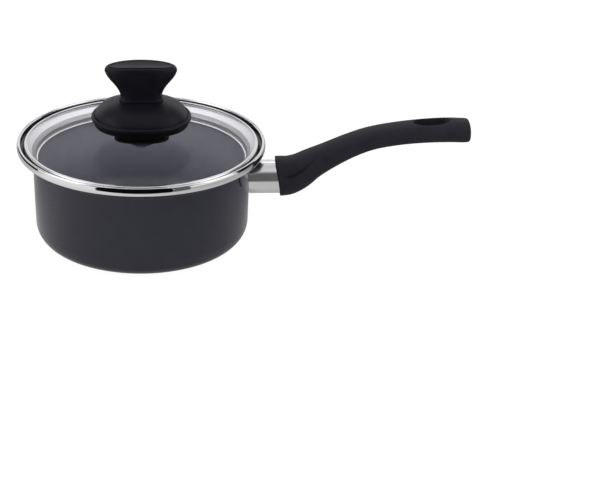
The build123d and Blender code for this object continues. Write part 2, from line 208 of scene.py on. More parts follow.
def between(first: float, last: float, share: float) -> float:
    """Value at a share of the way from one value to another."""
    return first + (last - first) * share


def arc(centre: Point, radii: Point | float, start: float, end: float,
        steps: int = 6) -> Path:
    """Points along an upright arc.

    Args:
        centre: Radius and height of the arc's centre.
        radii: Its level and upright half axes, or one radius for both.
        start: First angle in degrees, from outwards towards up.
        end: Last angle in degrees.
        steps: Number of stretches between the points.

    Returns:
        Radius and height of each point.
    """
    wide, tall = radii if isinstance(radii, tuple) else (radii, radii)
    angles = [math.radians(between(start, end, step / steps)) for step in range(steps + 1)]
    return [(centre[0] + wide * math.cos(angle), centre[1] + tall * math.sin(angle))
            for angle in angles]


def rounded(corners: Sequence[Point], radii: Sequence[float], steps: int = 8) -> Path:
    """A path through corners, with each inner corner rounded.

    Args:
        corners: Radius and height of each corner and of both ends.
        radii: Rounding of each corner between the ends, 0 for a sharp one.
        steps: Number of stretches in each rounding.

    Returns:
        Radius and height of each point of the rounded path.
    """
    path = [corners[0]]
    for index, radius in enumerate(radii):
        here = Vector(corners[index + 1])
        back = (Vector(corners[index]) - here).normalized()
        ahead = (Vector(corners[index + 2]) - here).normalized()
        if radius <= 0:
            path.append(tuple(here))
            continue
        half = back.angle(ahead) / 2
        centre = here + (back + ahead).normalized() * radius / math.sin(half)
        first = here + back * radius / math.tan(half) - centre
        last = here + ahead * radius / math.tan(half) - centre
        swing = first.angle_signed(last)
        for step in range(steps + 1):
            spoke = Matrix.Rotation(-swing * step / steps, 2) @ first
            path.append(tuple(centre + spoke))
    path.append(corners[-1])
    return path


def smooth_value(stations: Table, column: int, share: float) -> float:
    """Value of one column of a profile at a share of its length, on a smooth curve.

    Args:
        stations: Rows that start with a rising share of length.
        column: Which column to read.
        share: Where to read it.

    Returns:
        The value on a cubic curve through the rows.
    """
    last = len(stations) - 1
    index = max(i for i in range(last) if stations[i][0] <= share or i == 0)

    def steepness(row: int) -> float:
        """Slope of the column's curve at a row."""
        low, high = max(row - 1, 0), min(row + 1, last)
        run = stations[high][0] - stations[low][0]
        return (stations[high][column] - stations[low][column]) / run

    run = stations[index + 1][0] - stations[index][0]
    t = (share - stations[index][0]) / run
    return ((2 * t ** 3 - 3 * t ** 2 + 1) * stations[index][column]
            + (t ** 3 - 2 * t ** 2 + t) * run * steepness(index)
            + (3 * t ** 2 - 2 * t ** 3) * stations[index + 1][column]
            + (t ** 3 - t ** 2) * run * steepness(index + 1))


# ---------------------------------------- modelling
class Ends(Enum):
    """How the first and last rings of a lofted piece are left."""

    OPEN = "open"
    JOINED = "joined"
    LAST_CLOSED = "last closed"
    CLOSED = "closed"


def deselect_all() -> None:
    """Leaves nothing selected."""
    for shown in bpy.context.selected_objects:
        shown.select_set(False)


def pick(piece: Piece) -> None:
    """Makes a piece the only selected one and the active one."""
    deselect_all()
    piece.select_set(True)
    bpy.context.view_layer.objects.active = piece


def smooth(piece: Piece, angle: float = CRISP_FROM) -> None:
    """Shades a piece smooth, with edges sharper than an angle in degrees left crisp."""
    pick(piece)
    bpy.ops.object.shade_smooth_by_angle(angle=math.radians(angle))


def shape_ring(mesh: bpy.types.Mesh, section: Section) -> None:
    """Moves the selected ring of a mesh in edit mode onto a section."""
    edited = bmesh.from_edit_mesh(mesh)
    turns = edited.verts.layers.float["turn"]
    for vertex in edited.verts:
        if vertex.select:
            vertex.co = section.point(vertex[turns])
    bmesh.update_edit_mesh(mesh)


def face_outwards(mesh: bpy.types.Mesh) -> None:
    """Joins doubled points of a mesh in edit mode and turns its faces outwards."""
    bpy.ops.mesh.select_all(action="SELECT")
    bpy.ops.mesh.remove_doubles(threshold=0.001 * MM)
    bpy.ops.mesh.normals_make_consistent(inside=False)
    edited = bmesh.from_edit_mesh(mesh)
    edited.normal_update()
    away = sum(face.calc_area() * face.normal.dot(face.calc_center_median() * LEVEL)
               for face in edited.faces)
    if away < 0 and any(edge.is_boundary for edge in edited.edges):
        bpy.ops.mesh.flip_normals()
        edited = bmesh.from_edit_mesh(mesh)
    edited.verts.layers.float.remove(edited.verts.layers.float["turn"])


def lofted(name: str, rings: Sequence[Section], sides: int, ends: Ends = Ends.CLOSED,
           angle: float = CRISP_FROM) -> Piece:
    """Models a piece from a ring of points that is extruded from section to section.

    Args:
        name: The piece's name.
        rings: The sections in order.
        sides: Points round each ring.
        ends: How the first and last rings are left.
        angle: Edges sharper than this, in degrees, stay crisp.

    Returns:
        The piece, in object mode.
    """
    deselect_all()
    bpy.ops.mesh.primitive_circle_add(vertices=sides, radius=1.0)
    piece = bpy.context.active_object
    piece.name = name
    piece.data.name = name
    bpy.ops.object.mode_set(mode="EDIT")
    edited = bmesh.from_edit_mesh(piece.data)
    turns = edited.verts.layers.float.new("turn")
    for vertex in edited.verts:
        vertex[turns] = math.atan2(vertex.co.y, vertex.co.x)
    if ends is Ends.JOINED:
        rings = [*rings, rings[0]]
    shape_ring(piece.data, rings[0])
    for section in rings[1:]:
        bpy.ops.mesh.extrude_region_move()
        shape_ring(piece.data, section)
    if ends in (Ends.LAST_CLOSED, Ends.CLOSED):
        bpy.ops.mesh.extrude_region_move()
        bpy.ops.mesh.merge(type="CENTER")
    if ends is Ends.CLOSED:
        bpy.ops.mesh.select_all(action="DESELECT")
        bpy.ops.mesh.select_mode(type="EDGE")
        bpy.ops.mesh.select_non_manifold()
        bpy.ops.mesh.edge_face_add()
        bpy.ops.mesh.select_mode(type="VERT")
    face_outwards(piece.data)
    bpy.ops.object.mode_set(mode="OBJECT")
    smooth(piece, angle)
    return piece


def apply_modifier(piece: Piece, kind: str, **settings: object) -> None:
    """Adds a modifier to a piece with its settings, and applies it."""
    pick(piece)
    modifier = piece.modifiers.new(kind.lower(), kind)
    for name, value in settings.items():
        setattr(modifier, name, value)
    bpy.ops.object.modifier_apply(modifier=modifier.name)


def cut(piece: Piece, tool: Piece, angle: float = CRISP_FROM) -> None:
    """Cuts a tool's form out of a piece and removes the tool."""
    apply_modifier(piece, "BOOLEAN", operation="DIFFERENCE", solver="EXACT", object=tool)
    bpy.data.objects.remove(tool)
    smooth(piece, angle)


# ---------------------------------------- materials
def linear(colour: str) -> tuple[float, float, float, float]:
    """Linear colour of an sRGB hex value.

    Args:
        colour: Six hex digits after a #.

    Returns:
        Red, green, blue and an alpha of 1.
    """
    channels = [int(colour[place:place + 2], 16) / 255 for place in (1, 3, 5)]
    made = [c / 12.92 if c <= 0.04045 else ((c + 0.055) / 1.055) ** 2.4 for c in channels]
    return (made[0], made[1], made[2], 1.0)


def add_node(tree: Tree, kind: str, inputs: dict | None = None) -> Node:
    """Adds a shader node with its settings and links.

    Args:
        tree: The node tree that it joins.
        kind: The node's type, after the words that all shader nodes start with.
        inputs: What feeds each input, by name or number, or is set as an attribute: a
            value, a socket or a node, whose first output is meant. Stops take hex colours.

    Returns:
        The node.
    """
    made = tree.nodes.new("ShaderNode" + kind)
    for name, value in (inputs or {}).items():
        if name == "stops":
            stops = made.color_ramp.elements
            for index, (place, colour) in enumerate(value):
                stop = stops[index] if index < 2 else stops.new(place)
                stop.position = place
                stop.color = linear(colour)
        elif isinstance(value, (Node, Socket)):
            tree.links.new(value.outputs[0] if isinstance(value, Node) else value,
                           made.inputs[name])
        elif isinstance(name, int) or name in made.inputs:
            made.inputs[name].default_value = value
        else:
            setattr(made, name, value)
    return made


def empty_tree(owner: bpy.types.Material | bpy.types.World) -> Tree:
    """Gives a material or world an empty node tree, and returns it."""
    owner.use_nodes = True
    owner.node_tree.nodes.clear()
    return owner.node_tree


def seen_plainly(tree: Tree, ray: Node) -> Node:
    """Whether a ray comes from the camera, straight or through the glass."""
    return add_node(tree, "Math", {
        "operation": "MAXIMUM", 0: ray.outputs["Is Camera Ray"],
        1: ray.outputs["Is Transmission Ray"]})


def per_metre(size: float) -> float:
    """Texture scale at which one cell is a size in millimetres."""
    return 1.0 / (size * MM)


class Finish:
    """A material: subclasses say what it is and build its nodes."""

    name = "finish"
    slot = ""

    def make(self) -> bpy.types.Material:
        """Builds the material, or returns it if it is there already."""
        known = bpy.data.materials.get(self.name)
        if known:
            return known
        material = bpy.data.materials.new(self.name)
        tree = empty_tree(material)
        place = add_node(tree, "TexCoord").outputs["Object"]
        add_node(tree, "OutputMaterial", {"Surface": self.surface(tree, place)})
        return material

    def surface(self, tree: Tree, place: Socket) -> Node:
        """Builds the shader.

        Args:
            tree: The material's node tree.
            place: Place on the piece, in metres.

        Returns:
            The node whose first output is the surface.
        """
        raise NotImplementedError


@dataclass(frozen=True)
class Clouded(Finish):
    """Finish whose colour drifts in clouds under a finely grained skin.

    Sizes are in millimetres. The grain's lift is a bump's strength and depth. The
    roughness follows the clouds, or the grain where it says so.
    """

    colour: str
    cloud: str
    cloud_stops: Point
    cloud_size: float
    cloud_detail: float
    roughness: Point
    grain_size: float = 1.0
    grain_detail: float = 0.0
    grain_lift: Point = (0.0, 0.0)
    rough_by_grain: bool = False
    index: float = 1.5
    metallic: float = 0.0

    def tinted(self, tree: Tree, place: Socket, ground: Node) -> Node:
        """Builds on the clouds' colour: by default it stays as it is."""
        return ground

    def surface(self, tree: Tree, place: Socket) -> Node:
        """Builds the shader: clouded colour under a grained skin."""
        clouds, grain = (add_node(tree, "TexNoise", {
            "Scale": per_metre(size), "Detail": detail, "Vector": place})
            for size, detail in ((self.cloud_size, self.cloud_detail),
                                 (self.grain_size, self.grain_detail)))
        ground = add_node(tree, "ValToRGB", {
            "stops": list(zip(self.cloud_stops, (self.colour, self.cloud))), "Fac": clouds})
        dull = add_node(tree, "MapRange", {
            "To Min": self.roughness[0], "To Max": self.roughness[1],
            "Value": grain if self.rough_by_grain else clouds})
        bump = add_node(tree, "Bump", {
            "Strength": self.grain_lift[0], "Distance": self.grain_lift[1] * MM,
            "Height": grain})
        return add_node(tree, "BsdfPrincipled", {
            "Base Color": self.tinted(tree, place, ground), "Metallic": self.metallic,
            "IOR": self.index, "Roughness": dull, "Normal": bump})


@dataclass(frozen=True)
class VitreousEnamel(Clouded):
    """Vitreous enamel, sprayed and fired on pressed steel.

    It is glass over a charcoal ground coat, so it mirrors the room sharply, with the
    faint ripple and the few pale specks that firing leaves. Inside, its low shade is painted
    shade: it darkens the colour towards the base.
    """

    name: str = "vitreous_enamel_charcoal"
    slot: str = "enamel"
    colour: str = "#242430"
    cloud: str = "#272733"
    cloud_stops: Point = (0.35, 0.7)
    cloud_size: float = 9.0
    cloud_detail: float = 4.0
    grain_size: float = 3.2
    grain_detail: float = 1.0
    grain_lift: Point = (0.12, 0.05)
    roughness: Point = (0.07, 0.13)
    index: float = 1.40
    speck: str = "#3c3c44"
    speck_size: float = 2.4
    low_shade: float = 1.0
    shaded_from: float = 4.0
    shaded_up_to: float = 45.0

    def tinted(self, tree: Tree, place: Socket, ground: Node) -> Node:
        """Scatters the specks over the ground coat and darkens it towards the base as painted
        shade.
        """
        specks = add_node(tree, "TexVoronoi", {
            "Scale": per_metre(self.speck_size), "Randomness": 1.0, "Vector": place})
        dots = add_node(tree, "MapRange", {
            "From Min": 0.03, "From Max": 0.07, "To Min": 0.35, "To Max": 0.0,
            "Value": specks})
        colour = add_node(tree, "Mix", {
            "data_type": "RGBA", 0: dots, 6: ground, 7: linear(self.speck)})
        # Painted shade: the colour is scaled down towards the base, to the low shade at the
        # bottom.
        height = add_node(tree, "SeparateXYZ", {"Vector": place})
        painted_base_shade = add_node(tree, "MapRange", {
            "From Min": self.shaded_from * MM, "From Max": self.shaded_up_to * MM,
            "To Min": self.low_shade, "Value": height.outputs["Z"]})
        return add_node(tree, "VectorMath", {
            "operation": "SCALE", 0: colour.outputs[2], "Scale": painted_base_shade})


@dataclass(frozen=True)
class MouldedPhenolic(Clouded):
    """Phenolic resin, compression moulded in a lightly textured die.

    It is a hard black plastic with a satin skin, a fine grain and faint flow clouds.
    """

    name: str = "moulded_phenolic_satin"
    slot: str = "phenolic_satin"
    colour: str = "#101018"
    cloud: str = "#15151d"
    cloud_stops: Point = (0.3, 0.75)
    cloud_size: float = 12.0
    cloud_detail: float = 3.0
    grain_size: float = 0.45
    grain_detail: float = 2.0
    grain_lift: Point = (0.18, 0.04)
    roughness: Point = (0.40, 0.48)
    index: float = 1.25


@dataclass(frozen=True)
class SiliconeRubber(Clouded):
    """Silicone rubber, moulded. It is matte black and holds a little dust."""

    name: str = "silicone_rubber_black"
    slot: str = "silicone"
    colour: str = "#202022"
    cloud: str = "#3a3a3c"
    cloud_stops: Point = (0.5, 0.8)
    cloud_size: float = 1.5
    cloud_detail: float = 5.0
    roughness: Point = (0.7, 0.7)
    index: float = 1.41


@dataclass(frozen=True)
class WorkedMetal(Clouded):
    """Plain worked metal, such as stamped steel, turned screws or knurled brass.

    It is duller than polished steel, with fine tool marks and small colour clouds.
    """

    name: str = "stamped_steel_plain"
    slot: str = "bracket_steel"
    colour: str = "#a9a9ab"
    cloud: str = "#949497"
    cloud_stops: Point = (0.3, 0.7)
    cloud_size: float = 3.0
    cloud_detail: float = 2.0
    grain_size: float = 0.3
    grain_detail: float = 3.0
    grain_lift: Point = (0.2, 0.02)
    roughness: Point = (0.28, 0.42)
    rough_by_grain: bool = True
    metallic: float = 1.0


class Lay(Enum):
    """Which way the polishing lines of a steel piece run."""

    ROUND = "round"
    ALONG = "along"


@dataclass(frozen=True)
class PolishedStainless(Finish):
    """Stainless steel 18/10, bright rolled and buffed.

    It is a near mirror, slightly warm, with hair lines left by the mop in one direction.
    """

    name: str = "polished_stainless_round"
    slot: str = "stainless_polished"
    colour: str = "#e2e1e2"
    lay: Lay = Lay.ROUND
    dull: Point = (0.03, 0.10)
    line_pitch: float = 0.25
    smear_size: float = 14.0

    def surface(self, tree: Tree, place: Socket) -> Node:
        """Builds the shader: smeared polish with hair lines along the lay."""
        axes = add_node(tree, "SeparateXYZ", {"Vector": place})
        across = axes.outputs["X"]
        if self.lay is Lay.ROUND:
            level = add_node(tree, "VectorMath", {
                "operation": "MULTIPLY", 0: place, 1: tuple(LEVEL)})
            radius = add_node(tree, "VectorMath", {"operation": "LENGTH", 0: level})
            across = add_node(tree, "Math", {
                "operation": "ADD", 0: radius.outputs["Value"], 1: axes.outputs["Z"]})
        lines = add_node(tree, "TexNoise", {
            "noise_dimensions": "1D", "Scale": per_metre(self.line_pitch), "Detail": 3.0,
            "W": across})
        smears = add_node(tree, "TexNoise", {
            "Scale": per_metre(self.smear_size), "Detail": 2.0, "Vector": place})
        dull = add_node(tree, "MapRange", {
            "To Min": self.dull[0], "To Max": self.dull[1], "Value": smears})
        bump = add_node(tree, "Bump", {
            "Strength": 0.05, "Distance": 0.01 * MM, "Height": lines})
        return add_node(tree, "BsdfPrincipled", {
            "Base Color": linear(self.colour), "Metallic": 1.0, "Roughness": dull,
            "Normal": bump})


@dataclass(frozen=True)
class TemperedGlass(Finish):
    """Soda-lime glass, pressed to a dome and tempered.

    It is clear, and its skin carries faint wiping smears. Part of its glare is cut, as a
    polarising filter cuts it.
    """

    name: str = "tempered_glass_clear"
    slot: str = "lid_glass"
    colour: str = "#fafafb"
    index: float = 1.5
    glare_cut: float = 0.86
    smear_size: float = 22.0

    def surface(self, tree: Tree, place: Socket) -> Node:
        """Builds the shader: glass, mixed with the same glass without its glare."""
        smears = add_node(tree, "TexNoise", {
            "Scale": per_metre(self.smear_size), "Detail": 3.0, "Vector": place})
        dull = add_node(tree, "MapRange", {
            "From Min": 0.45, "From Max": 0.8, "To Min": 0.0, "To Max": 0.03,
            "Value": smears})
        whole = add_node(tree, "BsdfPrincipled", {
            "Base Color": linear(self.colour), "IOR": self.index,
            "Transmission Weight": 1.0, "Roughness": dull})
        through = add_node(tree, "BsdfRefraction", {
            "Color": linear(self.colour), "IOR": self.index, "Roughness": dull})
        return add_node(tree, "MixShader", {0: self.glare_cut, 1: whole, 2: through})


@dataclass(frozen=True)
class MatteBoard(Finish):
    """White board of the studio floor.

    It is white to the camera. Mirrors see it glow at a level that falls off to the right,
    to the back and under the pan: painted shade away from the light and a painted shadow of
    the pan.
    """

    name: str = "matte_white_board"
    colour: str = "#f2f2f2"
    white: float = 1.06
    emitted: float = 0.92
    # Painted shade and shadow in the mirrors' glow: it falls off to the right, behind the pan
    # and under it.
    left_right_shade: Point = (0.90, 0.50)
    side_shade_fade: Point = (-0.22, 0.22)
    back: float = 0.60
    back_shadow_fade: Point = (-0.03, 0.06)
    under: float = 0.60
    under_shadow_fade: Point = (0.080, 0.092)

    def surface(self, tree: Tree, place: Socket) -> Node:
        """Builds the shader: plain board, a white glow for the camera, and for mirrors a glow
        with painted shade and the pan's painted shadow.
        """
        axes = add_node(tree, "SeparateXYZ", {"Vector": place})
        out = add_node(tree, "VectorMath", {"operation": "LENGTH", 0: place})
        # Painted shade and painted shadow: the level of the mirrors' glow, made from the three
        # fades.
        level: Node | float = 1.0
        for value, fade, ends in (
                (axes.outputs["X"], self.side_shade_fade, self.left_right_shade),
                (axes.outputs["Y"], self.back_shadow_fade, (1.0, self.back)),
                (out.outputs["Value"], self.under_shadow_fade, (self.under, 1.0))):
            share = add_node(tree, "MapRange", {
                "From Min": fade[0], "From Max": fade[1], "To Min": ends[0],
                "To Max": ends[1], "Value": value})
            level = add_node(tree, "Math", {"operation": "MULTIPLY", 0: level, 1: share})
        board = add_node(tree, "BsdfDiffuse", {"Color": linear(self.colour)})
        white = add_node(tree, "Emission", {"Strength": self.white})
        mirror_glow_painted_shade = add_node(tree, "Emission", {"Strength": level})
        ray = add_node(tree, "LightPath")
        seen = seen_plainly(tree, ray)
        glow = add_node(tree, "Math", {"operation": "MULTIPLY", 0: seen, 1: self.emitted})
        other = add_node(tree, "MixShader", {
            0: ray.outputs["Is Glossy Ray"], 1: board, 2: mirror_glow_painted_shade})
        return add_node(tree, "MixShader", {0: glow, 1: other, 2: white})


@dataclass(frozen=True)
class Felt(Finish):
    """Felt of a flag. It glows instead of being lit, at a painted level of light that grows
    with height.
    """

    name: str = "black_felt"
    stops: tuple[tuple[float, str], ...] = (
        (0.0, "#060607"), (0.3, "#0c0c0e"), (0.5, "#6c6c70"))

    def surface(self, tree: Tree, place: Socket) -> Node:
        """Builds the shader: a glow read off the height."""
        # Painted light: the glow is read off the height, dim at the foot and brighter higher
        # up.
        height = add_node(tree, "SeparateXYZ", {"Vector": place})
        shade = add_node(tree, "ValToRGB", {"stops": self.stops, "Fac": height.outputs["Z"]})
        return add_node(tree, "Emission", {"Color": shade})


ENAMEL = VitreousEnamel()
# Paler enamel inside; its low shade of 0.40 is painted shade that darkens it towards the base.
ENAMEL_INSIDE = VitreousEnamel(name="vitreous_enamel_inside", colour="#a9a9b6",
                               cloud="#afafbc", speck="#bcbcc4", roughness=(0.28, 0.36),
                               index=1.52, low_shade=0.40)
BRIGHT_ROUND = PolishedStainless()
SATIN_LIP = PolishedStainless(name="satin_stainless_lip", dull=(0.22, 0.30))
# A darker copy of the satin steel: painted shade where the band's lip turns down.
SATIN_TURN_PAINTED_SHADE = PolishedStainless(name="satin_stainless_turn_painted_shade", colour="#b2b1b3",
                               dull=(0.46, 0.54))
# A lighter copy of the satin steel: painted light on the skirt's strip.
SATIN_SKIRT_PAINTED_LIGHT = PolishedStainless(name="satin_stainless_skirt_lightened", colour="#f0eff0",
                                dull=(0.46, 0.54))
BRIGHT_ALONG = PolishedStainless(name="polished_stainless_along", lay=Lay.ALONG,
                                 dull=(0.13, 0.19))
PHENOLIC = MouldedPhenolic()
PHENOLIC_HANDLE = MouldedPhenolic(name="moulded_phenolic_handle", colour="#24242b",
                                  cloud="#2a2a31", roughness=(0.54, 0.62), index=1.22)
# A rougher, darker copy of the phenolic: its darker colour is painted shade under the flange's
# lip, on the flange's skirt and on the pedestal.
PHENOLIC_MATTE_SHADED = MouldedPhenolic(name="moulded_phenolic_matte_shaded", slot="phenolic_matte",
                                 colour="#0a0a0e", cloud="#0e0e13", roughness=(0.5, 0.6))
GLASS = TemperedGlass()
SILICONE = SiliconeRubber()
# A grey copy of the black silicone, lighter as painted light against the knob's shade.
SILICONE_GREY_LIGHTENED = SiliconeRubber(name="silicone_rubber_grey_lightened", colour="#4c4c54", cloud="#5c5c64")
STAMPED = WorkedMetal()
SCREW_STEEL = WorkedMetal(name="turned_screw_steel", slot="screw_steel", colour="#b4b4b6",
                          cloud="#a2a2a5", roughness=(0.2, 0.34), cloud_size=2.0,
                          grain_size=0.2)
BRASS = WorkedMetal(name="knurled_brass", slot="brass", colour="#c2a35e", cloud="#a98b4b")
BOARD = MatteBoard()
FELT = Felt()
FELT_GREY = Felt(name="grey_felt", stops=((0.0, "#606264"), (1.0, "#707274")))


def wear(piece: Piece, *finishes: Finish) -> None:
    """Gives a new piece its finishes."""
    piece.data.materials.clear()
    for finish in finishes:
        piece.data.materials.append(finish.make())


def dress_node(name: str, finish: Finish) -> None:
    """Gives a node of the frame its finish."""
    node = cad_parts[name]
    if not node.material_slots:
        node.data.materials.append(finish.make())
    for slot in node.material_slots:
        slot.material = finish.make()
    LOG.info("frame node %s wears %s", name, finish.name)


def fit_in(piece: Piece, body: str, *nodes: str) -> None:
    """Lets a new piece ride on its body and stand for the frame's nodes."""
    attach(piece, body)
    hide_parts(*nodes)
    LOG.info("%s: %d faces, rides on %s", piece.name, len(piece.data.polygons), body)


def box_mm(node: str) -> tuple[Vector, Vector]:
    """Lowest and highest corners of a frame node, in millimetres."""
    low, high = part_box(node)
    return low / MM, high / MM


# ---------------------------------------- pan
@dataclass
class Pan:
    """The enamelled shell and the bright ring rolled round its edge."""

    sides: int = 256
    wall: float = 1.4
    draft: float = 1.2
    corner_round: float = 15.4
    seat_slope: float = 35.0
    neck_below_edge: float = 8.36
    neck_reach: float = 10.3
    neck_round: float = 2.4
    base_step: float = 0.5
    base_step_inset: float = 4.0
    ring_width: float = 2.7
    ring_inner_round: float = 1.25
    ring_flat: float = 0.1
    ring_crisp_from: float = 50.0
    corner_steps: int = 14
    crest_steps: int = 28

    def build(self) -> None:
        """Builds the pan's pieces."""
        self.build_shell()
        self.build_ring()

    def build_shell(self) -> None:
        """Presses the shell: base, corner, wall and the sloping seat for the lid."""
        high = box_mm("pan_wall")[1]
        top_radius = high.y - self.neck_reach
        neck = high.z - self.neck_below_edge
        seat_top = high.z - self.wall / math.cos(math.radians(self.seat_slope))
        bottom_radius = top_radius - self.draft
        flat = bottom_radius - self.corner_round
        step = flat - self.base_step_inset
        path = rounded(
            [(high.y, seat_top), (top_radius, neck), (bottom_radius, 0.0), (flat, 0.0)],
            [self.neck_round, self.corner_round], self.corner_steps)
        path += [(step, 0.0), (step - 2 * self.base_step, self.base_step),
                 (step / 2, self.base_step), (step / 8, self.base_step)]
        shell = lofted("pan_shell", turned(path), self.sides, Ends.LAST_CLOSED)
        wear(shell, ENAMEL, ENAMEL_INSIDE)
        apply_modifier(shell, "SOLIDIFY", thickness=self.wall * MM, offset=-1.0,
                       use_even_offset=True, material_offset=1)
        smooth(shell)
        for face in shell.data.polygons:
            if (face.center * LEVEL).length > top_radius * MM:
                face.material_index = 0
        fit_in(shell, "pan", "pan_base", "pan_wall")

    def build_ring(self) -> None:
        """Rolls the ring: a half-round outside, a short round inside and a flat back."""
        low, high = box_mm("rim_ring")
        inner, turn = high.y - self.ring_width, self.ring_inner_round
        crest = inner + turn + self.ring_flat
        middle = (low.z + high.z) / 2
        path = [(inner, low.z + turn), (inner, high.z - turn)]
        path += arc((inner + turn, high.z - turn), turn, 180.0, 90.0)[1:]
        path += arc((crest, middle), (high.y - crest, high.z - middle), 90.0, -90.0,
                    self.crest_steps)
        path += arc((inner + turn, low.z + turn), turn, 270.0, 180.0)[:-1]
        ring = lofted("rim_bead", turned(path), self.sides, Ends.JOINED, self.ring_crisp_from)
        wear(ring, BRIGHT_ROUND)
        fit_in(ring, "pan", "rim_ring")


# ---------------------------------------- lid
@dataclass
class Lid:
    """The glass dome, its crimped band, the steam vent and what clamps the knob."""

    sides: int = 256
    band_sheet: float = 0.5
    band_corner: float = 1.2
    band_top_lip: float = 2.6
    band_edge: float = 0.12
    band_bright_depth: float = 2.0
    lip_slope: float = 35.0
    lip_bend: float = 1.4
    lip_facing: float = 0.3
    dull_shaded_lip: float = 2.8
    hem: float = 1.5
    hem_bend: float = 0.9
    skirt_strip: float = 0.4
    glass_thickness: float = 4.0
    glass_edge_round: float = 0.8
    screw_hole: float = 3.75
    vent_sides: int = 64
    vent_sheet: float = 0.5
    vent_bore: float = 2.6
    vent_wall: float = 0.6
    vent_hole_gap: float = 0.05
    drill_overrun: float = 5.0
    dome_steps: int = 28
    roll_steps: int = 8
    break_from: float = 50.0

    def build(self) -> None:
        """Builds the lid's pieces and dresses the small ones from the frame."""
        self.build_band()
        self.build_glass()
        self.build_vent()
        # The sleeve and the under gasket wear the lighter grey silicone: painted light against
        # the knob's shade.
        for name, finish in (("screw_sleeve", SILICONE_GREY_LIGHTENED), ("under_gasket", SILICONE_GREY_LIGHTENED),
                             ("knob_screw", SCREW_STEEL), ("knob_washer", SCREW_STEEL),
                             ("knob_insert", BRASS)):
            dress_node(name, finish)

    def build_band(self) -> None:
        """Bends the band's sheet round the glass, in over the seat and down to a hem."""
        high = box_mm("lid_band")[1]
        skirt_low, skirt_high = box_mm("lid_skirt")
        outer, skirt = high.y, skirt_high.y
        slope = math.radians(self.lip_slope)
        lip_end = skirt_high.z - self.band_sheet / math.cos(slope)
        path = rounded(
            [(outer - self.band_top_lip, high.z), (outer, high.z),
             (outer, lip_end + (outer - skirt) * math.tan(slope)),
             (skirt + self.dull_shaded_lip, lip_end + self.dull_shaded_lip * math.tan(slope)),
             (skirt, lip_end), (skirt, skirt_low.z), (skirt - self.hem, skirt_low.z)],
            [self.band_corner, self.band_corner, 0.0, self.lip_bend, self.hem_bend])
        band = lofted("lid_band_crimped", turned(path), self.sides, Ends.OPEN)
        apply_modifier(band, "SOLIDIFY", thickness=self.band_sheet * MM, offset=-1.0,
                       use_even_offset=True)
        apply_modifier(band, "BEVEL", width=self.band_edge * MM, segments=2,
                       limit_method="ANGLE", angle_limit=math.radians(self.break_from))
        smooth(band)
        wear(band, BRIGHT_ROUND, SATIN_LIP, SATIN_TURN_PAINTED_SHADE, SATIN_SKIRT_PAINTED_LIGHT)
        # Painted shade: the lip's inner part, where it turns down, wears the darker copy of
        # the steel.
        lip, turn, lightened_strip = 1, 2, 3
        for face in band.data.polygons:
            out, height = (face.center * LEVEL).length, face.center.z
            turns_down = height > (lip_end - self.lip_bend) * MM
            if turns_down and out < (skirt + self.dull_shaded_lip) * MM:
                face.material_index = turn
            # Painted light: the skirt's strip wears the lighter copy of the steel.
            elif out < (skirt + self.skirt_strip) * MM:
                face.material_index = lightened_strip
            elif (height < (high.z - self.band_bright_depth) * MM
                  and face.normal.z > self.lip_facing):
                face.material_index = lip
        fit_in(band, "lid", "lid_band", "lid_skirt")

    def build_glass(self) -> None:
        """Presses the dome, rounds its edge and drills it for the screw and the vent."""
        low, high = box_mm("lid_glass")
        edge, turn = high.y, self.glass_edge_round
        rise = high.z - low.z - self.glass_thickness
        sphere = (edge ** 2 + rise ** 2) / (2 * rise)
        start, end = (90.0 - math.degrees(math.asin(out / sphere))
                      for out in (self.screw_hole, edge))
        outer = arc((0.0, high.z - sphere), sphere, start, end, self.dome_steps)
        inner = [(radius, height - self.glass_thickness) for radius, height in outer]
        corners = [outer[-2], (edge, outer[-1][1]), (edge, inner[-1][1]), inner[-2]]
        path = outer[:-1] + rounded(corners, [turn, turn])[1:-1] + inner[-2::-1]
        glass = lofted("lid_dome", turned(path), self.sides, Ends.JOINED)
        vent_low, vent_high = box_mm("vent_eyelet")
        hole = self.vent_bore + self.vent_wall + self.vent_hole_gap
        drilled = [(hole, vent_low.z - self.drill_overrun),
                   (hole, vent_high.z + self.drill_overrun)]
        centre = tuple(((vent_low + vent_high) / 2).xy)
        cut(glass, lofted("vent_drill", turned(drilled, centre), self.vent_sides))
        wear(glass, GLASS)
        fit_in(glass, "lid", "lid_glass")

    def build_vent(self) -> None:
        """Turns the eyelet: a tube with an edge rolled over each side of the glass."""
        low, high = box_mm("vent_eyelet")
        bore, sheet, roll = self.vent_bore, self.vent_sheet, self.vent_sheet / 2
        outer = (high.x - low.x) / 2 - roll
        top, bottom = high.z - sheet, low.z + sheet
        path = [(bore, bottom), (bore, top)]
        path += arc((bore + sheet, top), sheet, 180.0, 90.0)[1:]
        path += arc((outer, high.z - roll), roll, 90.0, -90.0, self.roll_steps)
        path += [(bore + self.vent_wall, top), (bore + self.vent_wall, bottom)]
        path += arc((outer, low.z + roll), roll, 90.0, -90.0, self.roll_steps)
        path += arc((bore + sheet, bottom), sheet, 270.0, 180.0)[:-1]
        rings = turned(path, tuple(((low + high) / 2).xy))
        vent = lofted("vent_eyelet_rolled", rings, self.vent_sides, Ends.JOINED,
                      self.break_from)
        wear(vent, BRIGHT_ROUND)
        fit_in(vent, "lid", "vent_eyelet")


